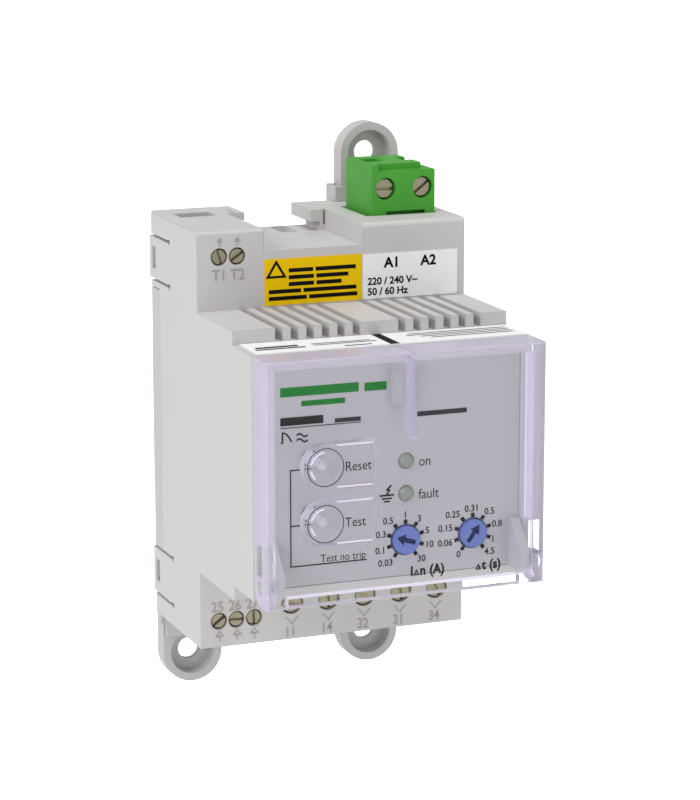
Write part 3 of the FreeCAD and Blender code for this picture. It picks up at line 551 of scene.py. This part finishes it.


# dark arrow laid on the floor of each dial's engraved arrow, its colour painted shade of the recess
arrowLook = {"depth": 0.37, "rise": 0.02, "stem": 0.45, "tail": -1.9, "neck": 0.32, "head": 1.08, "tip": 1.96}
for dialName, dial in dials.items():
    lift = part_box(dialName + "_selector")[0][1] + arrowLook["depth"] * mm
    a = math.radians(dial["rest"])
    turn = np.array([[math.cos(a), math.sin(a)], [-math.sin(a), math.cos(a)]])
    # flat arrow of seven corners turned clockwise by the dial's rest angle, and raised by its thickness
    half, tail, neck, head = (arrowLook[key] for key in ("stem", "tail", "neck", "head"))
    outline = np.array([(-half, tail), (half, tail), (half, neck), (head, neck), (0, arrowLook["tip"]),
                        (-head, neck), (-half, neck)])
    ring = outline @ turn.T * mm
    low = np.concatenate([ring, np.full((len(ring), 1), -0.02 * mm)], axis=1)
    high = low + [0, 0, arrowLook["rise"] * mm]
    n = len(ring)
    i = np.arange(n)
    j = (i + 1) % n
    faces = np.stack([i, j, j + n, i + n], axis=-1).tolist() + [i[::-1].tolist(), (i + n).tolist()]
    verts = flatToPlace(np.concatenate([low, high]), "wall", (dial["x"] * mm, lift, dialZ * mm))
    piece = meshPiece("arrow_" + dialName, verts, faces, smooth=False)
    mergeClose(piece)
    finishPiece(piece, dialName + "_selector", arrowRecessPaintedShade)
print("dial arrows done")


# painted shade and painted highlights on each clear pad: a dark rim line painted where refraction darkens the pad's
# edge, soft painted glints, and painted highlight lines along the cut edges of its tongue
padLook = {"x": -16.2, "rim": 3.42, "rimWide": 0.2, "glint": 2.75, "slot": 3.8, "slotTo": -7.0}
# dark grey for the painted rim shade and near white for the painted highlights
padRimPaintedShade = printedFilm("paintedPadRimShade", "#55555E", 0.4)
paintedHighlightWhite = printedFilm("paintedGlintHighlight", "#F3F0FA", 0.3)
for padName, padZ in (("reset", 3.1), ("test", -7.2)):
    body = padName + "_tongue"
    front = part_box(body)[0][1]
    x = padLook["x"]
    arc = np.linspace(0, 2 * math.pi, 64, endpoint=False)
    rim = np.stack([x + padLook["rim"] * np.cos(arc), padZ + padLook["rim"] * np.sin(arc)], axis=-1)
    piece = inkPiece("rim_" + padName, [inkStrip(rim, padLook["rimWide"], closed=True)], "wall", (0, front, 0))
    finishPiece(piece, body, padRimPaintedShade)
    arc = np.linspace(math.radians(95), math.radians(165), 16)
    glint = np.stack([x + padLook["glint"] * np.cos(arc), padZ + padLook["glint"] * np.sin(arc)], axis=-1)
    arc = np.linspace(math.radians(190), math.radians(225), 10)
    low = np.stack([x + padLook["glint"] * np.cos(arc), padZ + padLook["glint"] * np.sin(arc)], axis=-1)
    piece = inkPiece("painted_glint_" + padName, [inkStrip(glint, 0.3), inkStrip(low, 0.35)], "wall", (0, front, 0))
    finishPiece(piece, body, paintedHighlightWhite)
    # painted highlight lines along both cut edges of the tongue, laid just behind the cover's front
    cuts = [inkStrip([(x + 2.3, padZ + way * padLook["slot"]), (padLook["slotTo"], padZ + way * padLook["slot"])], 0.28)
            for way in (1, -1)]
    piece = inkPiece("cut_" + padName, cuts, "wall", (0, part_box("clear_cover")[0][1] + 0.05 * mm, 0))
    finishPiece(piece, "clear_cover", paintedHighlightWhite)
print("pads done")

# catch spring, drawn anew as a coil of wire in place of the imported one
springLook = {"turns": 7, "coil": 0.85, "wire": 0.18, "keep": 0.7}
low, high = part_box("catch_spring")
wire, coil = springLook["wire"] * mm, springLook["coil"] * mm
t = np.linspace(0, 1, springLook["turns"] * 24 + 1)[:, None]
round8 = np.linspace(0, 2 * math.pi, 8, endpoint=False)[None, :]
# a point of the wire: out from the axis by coil plus wire times the cosine, up by the climb of the
# helix plus wire times the sine, at an angle of one full turn per coil
reach = coil + wire * np.cos(round8) + 0 * t
spin = 2 * math.pi * springLook["turns"] * t
height = low[2] + wire + (high[2] - low[2] - 2 * wire) * t + wire * np.sin(round8)
verts = np.stack([(low[0] + high[0]) / 2 + reach * np.cos(spin), (low[1] + high[1]) / 2 + reach * np.sin(spin), height],
                 axis=-1).reshape(-1, 3)
last = len(verts) - 8
faces = gridFaces(len(t), 8, True).tolist() + [list(range(8)), list(range(last, last + 8))]
piece = meshPiece("catch_spring_coil", verts, faces)
mergeClose(piece)
finishPiece(piece, "housing", springMetal)
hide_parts("catch_spring")
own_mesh(piece)
print("spring done")

films = {"caution_label": (yellowFilm, "label_yellow", 0.08), "supply_label": (whiteFilm, "label_white", 0.25)}
for nodeName, (film, slotName, corner) in films.items():
    low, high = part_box(nodeName)
    verts, faces = slab(low[0], high[0], low[2], high[2], high[1], 0.12 * mm, corner * mm)
    piece = meshPiece(nodeName + "_film", verts, faces, smooth=False)
    mergeClose(piece)
    finishPiece(piece, "housing", film)
    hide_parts(nodeName)

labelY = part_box("caution_label")[1][1] - 0.12 * mm
lineEnds = [(-8.9, 4.6, 31.9), (-8.9, 3.1, 30.6), (-8.9, 1.7, 29.3), (-12.9, 4.7, 28.0), (-12.9, 4.9, 26.7)]
strips = []
for k, (x0, x1, z) in enumerate(lineEnds):
    cutsAt = [x0, x0 + (x1 - x0) * (0.38 + 0.06 * (k % 3)), x1]  # two words a line
    strips.append(inkStrip([(cutsAt[0], z), (cutsAt[1] - 0.25, z)], 0.75))
    strips.append(inkStrip([(cutsAt[1] + 0.25, z), (cutsAt[2], z)], 0.75))
strips.append(inkStrip([(-13.1, 30.8), (-11.4, 33.6), (-9.7, 30.8)], 0.45, closed=True))
finishPiece(inkPiece("print_notice_lines", strips, "wall", (0, labelY, 0)), "housing", blackInk)

for text, x, z, height, heavy in (("A1", 10.4, 31.3, 1.9, 0.09), ("A2", 17.9, 31.3, 1.9, 0.09),
                                  ("220 / 240 V~", 7.0, 28.1, 1.35, 0.06), ("50 / 60 Hz", 7.0, 26.1, 1.35, 0.06)):
    name = "print_" + "".join(c if c.isalnum() else "_" for c in text)
    piece = lettering(name, text, height, (x * mm, labelY, z * mm), bold=heavy)
    finishPiece(piece, "housing", blackInk)

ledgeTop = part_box("ledge_label")[1][2]
strips = [inkStrip([(-25.0, -54.6), (-15.5, -54.6)], 0.8), inkStrip([(-24.4, -53.0), (-16.4, -53.0)], 1.1),
          inkStrip([(-13.6, -53.9), (-1.6, -53.9)], 0.45), inkStrip([(-13.6, -52.7), (-2.4, -52.7)], 0.45),
          inkStrip([(-8.6, -56.4), (-3.4, -56.4)], 0.6),
          inkStrip([(6.0, -50.4), (25.4, -50.4)], 0.45), inkStrip([(5.2, -51.8), (25.4, -51.8)], 0.45),
          inkStrip([(7.6, -53.2), (25.4, -53.2)], 0.45), inkStrip([(9.0, -54.6), (25.4, -54.6)], 0.45)]
finishPiece(inkPiece("print_ledge_lines", strips, "ledge", (0, 0, ledgeTop)), "housing", blackInk)
strips = [inkStrip([(0.6, -57.9), (0.6, -48.3)], 1.8)]
finishPiece(inkPiece("print_ledge_stripe", strips, "ledge", (0, 0, ledgeTop)), "housing", blackInk)
print("labels printed")


# raised terminal marks and arrows, moulded in the body plastic, drawn in a darker grey that paints the shade along
# their edges
marks = {"rise": 0.18, "small": 2.05, "large": 1.95, "words": []}
marks["words"] += [("T1", -24.05, 30.85), ("T2", -20.45, 30.85)]
marks["words"] += [("25", -24.9, -33.05), ("26", -21.4, -33.05), ("27", -17.9, -33.05)]
marks["words"] += [(t, -10.1 + 7.5 * k, -39.4) for k, t in enumerate(("11", "14", "32", "31", "34"))]
for text, x, z in marks["words"]:
    tall = marks["small"] if x < -14 else marks["large"]
    piece = lettering("mark_" + text, text, tall, (x * mm, faceY, z * mm), raised=marks["rise"],
                      bold=0.02, squeeze=0.88)
    finishPiece(piece, "housing", reliefMarkPaintedShade)
strips = []
for x in (-22.54, -19.03):
    strips.append(inkStrip([(x - 0.5, 38.0), (x, 38.7), (x + 0.5, 38.0)], 0.16, 0.1))
    strips.append(inkStrip([(x, 37.2), (x, 38.5)], 0.16, 0.1))
for x in (-23.26, -19.70, -16.21):
    strips.append(inkStrip([(x - 0.75, -37.9), (x, -36.9), (x + 0.75, -37.9)], 0.16, 0.1, closed=True))
    strips.append(inkStrip([(x, -38.9), (x, -37.9)], 0.16, 0.1))
for k in range(5):
    x = -8.55 + 7.5 * k
    strips.append(inkStrip([(x - 1.2, -35.6), (x, -37.0), (x + 1.2, -35.6)], 0.16, 0.1))
finishPiece(inkPiece("mark_arrows", strips, "wall", (0, faceY, 0)), "housing", reliefMarkPaintedShade)
print("terminal marks done")


studio = {"floorDrop": 0.02, "floorColour": "#FFFFFF", "key": 4.3, "fill": 0.8, "top": 3.0, "room": 0.5}


def lookedAt(tree):
    # 1 for a ray from the eye, straight or through clear plastic, and 0 for any other
    ray = addNode(tree, "ShaderNodeLightPath")
    return addNode(tree, "ShaderNodeMath", {"operation": "MAXIMUM"},
                   {0: ray.outputs["Is Camera Ray"], 1: ray.outputs["Is Transmission Ray"]})


def studioFloor():
    size = 6.0
    z = cadBox[0][2] - studio["floorDrop"]
    verts = [(-size, -size, z), (size, -size, z), (size, size, z), (-size, size, z)]
    floor = meshPiece("floor", verts, [(0, 1, 2, 3)], smooth=False)
    material, tree = startMaterial("paleSeamlessPaper")
    # paper lit to pure white where it is looked at, without throwing all that light back at the part
    seen = lookedAt(tree)
    glow = addNode(tree, "ShaderNodeMapRange", {"To Min": 0.1, "To Max": 0.9}, {"Value": seen.outputs[0]})
    shader = addNode(tree, "ShaderNodeBsdfPrincipled",
                     {"Base Color": linear(studio["floorColour"]), "Roughness": 0.9,
                      "Emission Color": (1.0, 1.0, 1.0, 1.0)},
                     {"Emission Strength": glow.outputs["Result"]})
    endMaterial(tree, shader.outputs[0])
    floor.data.materials.append(material)


def softLight(name, at, size, power, aim):
    data = bpy.data.lights.new(name, "AREA")
    data.shape = "DISK"
    data.size = size
    data.energy = power
    lamp = bpy.data.objects.new(name, data)
    lamp.location = at
    lamp.rotation_euler = (Vector(aim) - Vector(at)).to_track_quat("-Z", "Y").to_euler()
    bpy.context.scene.collection.objects.link(lamp)


studioFloor()
softLight("keyLight", (-0.9, -0.35, 0.55), 0.5, studio["key"], (0, 0, 0))
softLight("fillLight", (0.7, -0.9, 0.3), 0.8, studio["fill"], (0, 0, 0))
softLight("topLight", (0.0, -0.1, 0.9), 0.5, studio["top"], (0, 0, 0))
world = bpy.data.worlds.new("whiteRoom")
world.use_nodes = True
sky = world.node_tree
sky.nodes.clear()
# white paper where it is looked at, straight or through clear plastic, and a dimmer room as light
seen = lookedAt(sky)
level = addNode(sky, "ShaderNodeMapRange", {"To Min": studio["room"], "To Max": 1.0}, {"Value": seen.outputs[0]})
room = addNode(sky, "ShaderNodeBackground", {"Color": (1.0, 1.0, 1.0, 1.0)}, {"Strength": level.outputs["Result"]})
addNode(sky, "ShaderNodeOutputWorld", links={"Surface": room.outputs[0]})
bpy.context.scene.world = world
bpy.context.scene.view_settings.view_transform = "Standard"

cameraLook = {"at": (-0.19596, -0.53356, 0.12382), "azimuth": -21.54, "elevation": 12.23, "lens": 131.2}
a, e = math.radians(cameraLook["azimuth"]), math.radians(cameraLook["elevation"])
back = Vector((math.sin(a) * math.cos(e), -math.cos(a) * math.cos(e), math.sin(e)))
cameraData = bpy.data.cameras.new("camera")
cameraData.lens = cameraLook["lens"]
cameraData.sensor_width = 36.0
cameraData.clip_start = 0.01
camera = bpy.data.objects.new("camera", cameraData)
camera.location = cameraLook["at"]
camera.rotation_euler = back.to_track_quat("Z", "Y").to_euler()
bpy.context.scene.collection.objects.link(camera)
bpy.context.scene.camera = camera
print("studio ready")
